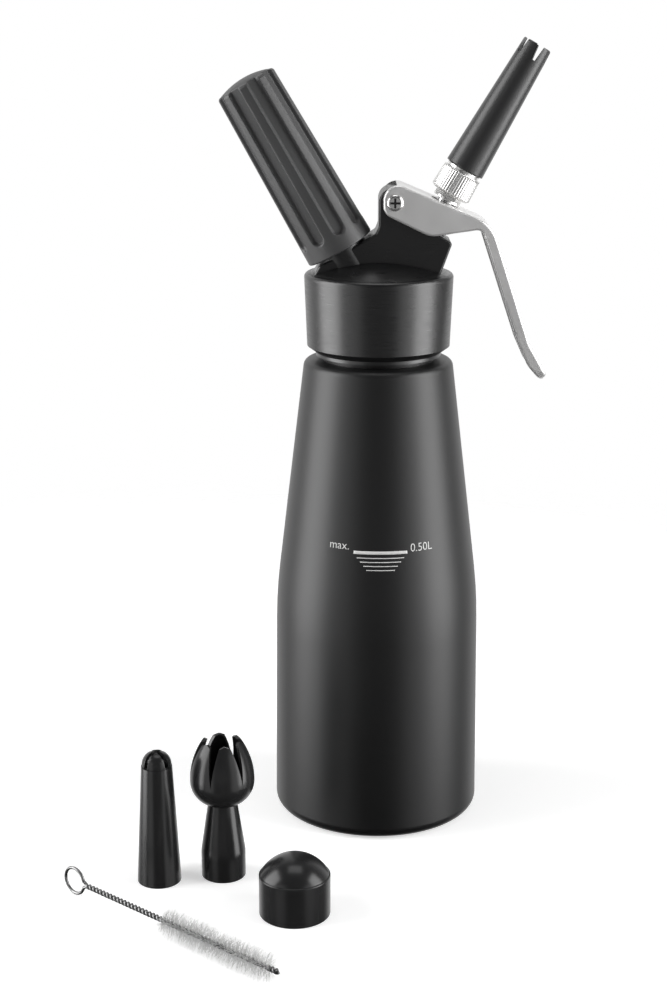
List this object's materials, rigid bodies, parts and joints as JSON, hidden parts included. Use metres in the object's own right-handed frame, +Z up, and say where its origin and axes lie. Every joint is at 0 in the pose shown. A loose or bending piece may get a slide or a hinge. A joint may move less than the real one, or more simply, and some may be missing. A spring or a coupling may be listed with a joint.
{
  "type": "whipped cream dispenser",
  "caption": "Half-litre cream whipper with a screw head, charger holder, sprung lever valve and star tip, and its spare tips, screw cap and cleaning brush.",
  "frame": {"origin": "centre of the bottle's flat base, on the table", "axes": "+Z up along the bottle; +X towards the nozzle and the lever"},
  "size_m": [0.1765, 0.1891, 0.2971],
  "materials": {
    "bottle_coat": "matt powder coat",
    "head_coat": "satin brushed black",
    "holder_plastic": "matt moulded plastic",
    "tip_plastic": "semi-gloss moulded plastic",
    "lever_steel": "brushed stainless steel",
    "bright_nickel": "bright nickel plate",
    "valve_steel": "turned stainless steel",
    "brass": "turned brass",
    "aluminium": "plain turned",
    "seal_rubber": "moulded rubber",
    "charger_steel": "zinc plated",
    "brush_steel": "twisted galvanised wire",
    "bristle_nylon": "translucent white nylon"
  },
  "bodies": {
    "bottle": {"bottle": "bottle_coat"},
    "gasket": {"head_gasket": "seal_rubber"},
    "head": {"head": "head_coat", "piercing_pin": "valve_steel", "piercer_seal": "seal_rubber", "guide_bush": "brass", "spindle_oring": "seal_rubber", "valve_spring": "valve_steel"},
    "lever": {"lever": "lever_steel", "pivot_screw": "bright_nickel", "pivot_sleeve": "brass", "pivot_nut": "bright_nickel"},
    "valve": {"valve_spindle": "valve_steel", "valve_seal": "seal_rubber", "thrust_collar": "brass", "spindle_washer": "bright_nickel", "spindle_nut": "bright_nickel", "nozzle_adapter": "bright_nickel"},
    "tip": {"star_tip": "tip_plastic"},
    "charger": {"charger": "charger_steel"},
    "holder": {"charger_holder": "holder_plastic", "holder_liner": "aluminium", "holder_cushion": "seal_rubber"},
    "cap": {"protective_cap": "tip_plastic"},
    "round_tip": {"round_tip": "tip_plastic"},
    "tulip_tip": {"tulip_tip": "tip_plastic"},
    "brush": {"brush_wire": "brush_steel", "brush_bristles": "bristle_nylon"}
  },
  "joints": [
    {"name": "head_lift", "type": "slide", "parent": "bottle", "child": "gasket", "axis": [0, 0, 1], "range_m": [0, 0.0121]},
    {"name": "head_turn", "type": "hinge", "parent": "gasket", "child": "head", "pos_m": [0, 0, 0.2], "axis": [0, 0, 1], "range_deg": [0, 1440]},
    {"name": "lever_press", "type": "hinge", "parent": "head", "child": "lever", "pos_m": [0.0055, 0, 0.2387], "axis": [0, 1, 0], "range_deg": [0, 12], "stiffness_Nm_per_rad": 1.2, "springref_deg": -11.46},
    {"name": "valve_travel", "type": "slide", "parent": "head", "child": "valve", "axis": [-0.5, 0, -0.866], "range_m": [0, 0.0036], "deforming": ["valve_spring"]},
    {"name": "tip_off", "type": "slide", "parent": "valve", "child": "tip", "axis": [0.5, 0, 0.866], "range_m": [0, 0.03]},
    {"name": "charger_advance", "type": "slide", "parent": "head", "child": "charger", "axis": [-0.5, 0, 0.866], "range_m": [0, 0.009]},
    {"name": "holder_turn", "type": "hinge", "parent": "charger", "child": "holder", "pos_m": [0, 0, 0.196], "axis": [-0.5, 0, 0.866], "range_deg": [0, 2190]},
    {"name": "cap_lift", "type": "slide", "parent": "bottle", "child": "cap", "axis": [0, 0, 1], "range_m": [0, 0.06]},
    {"name": "round_tip_lift", "type": "slide", "parent": "bottle", "child": "round_tip", "axis": [0, 0, 1], "range_m": [0, 0.06]},
    {"name": "tulip_tip_lift", "type": "slide", "parent": "bottle", "child": "tulip_tip", "axis": [0, 0, 1], "range_m": [0, 0.06]},
    {"name": "brush_lift", "type": "slide", "parent": "bottle", "child": "brush", "axis": [0, 0, 1], "range_m": [0, 0.06]}
  ],
  "couplings": [
    {"joint": "head_lift", "follows": "head_turn", "m_per_rad": 0.00047746},
    {"joint": "holder_turn", "follows": "charger_advance", "rad_per_m": 4188.8},
    {"joint": "valve_travel", "follows": "lever_press", "m_per_rad": 0.016587}
  ]
}
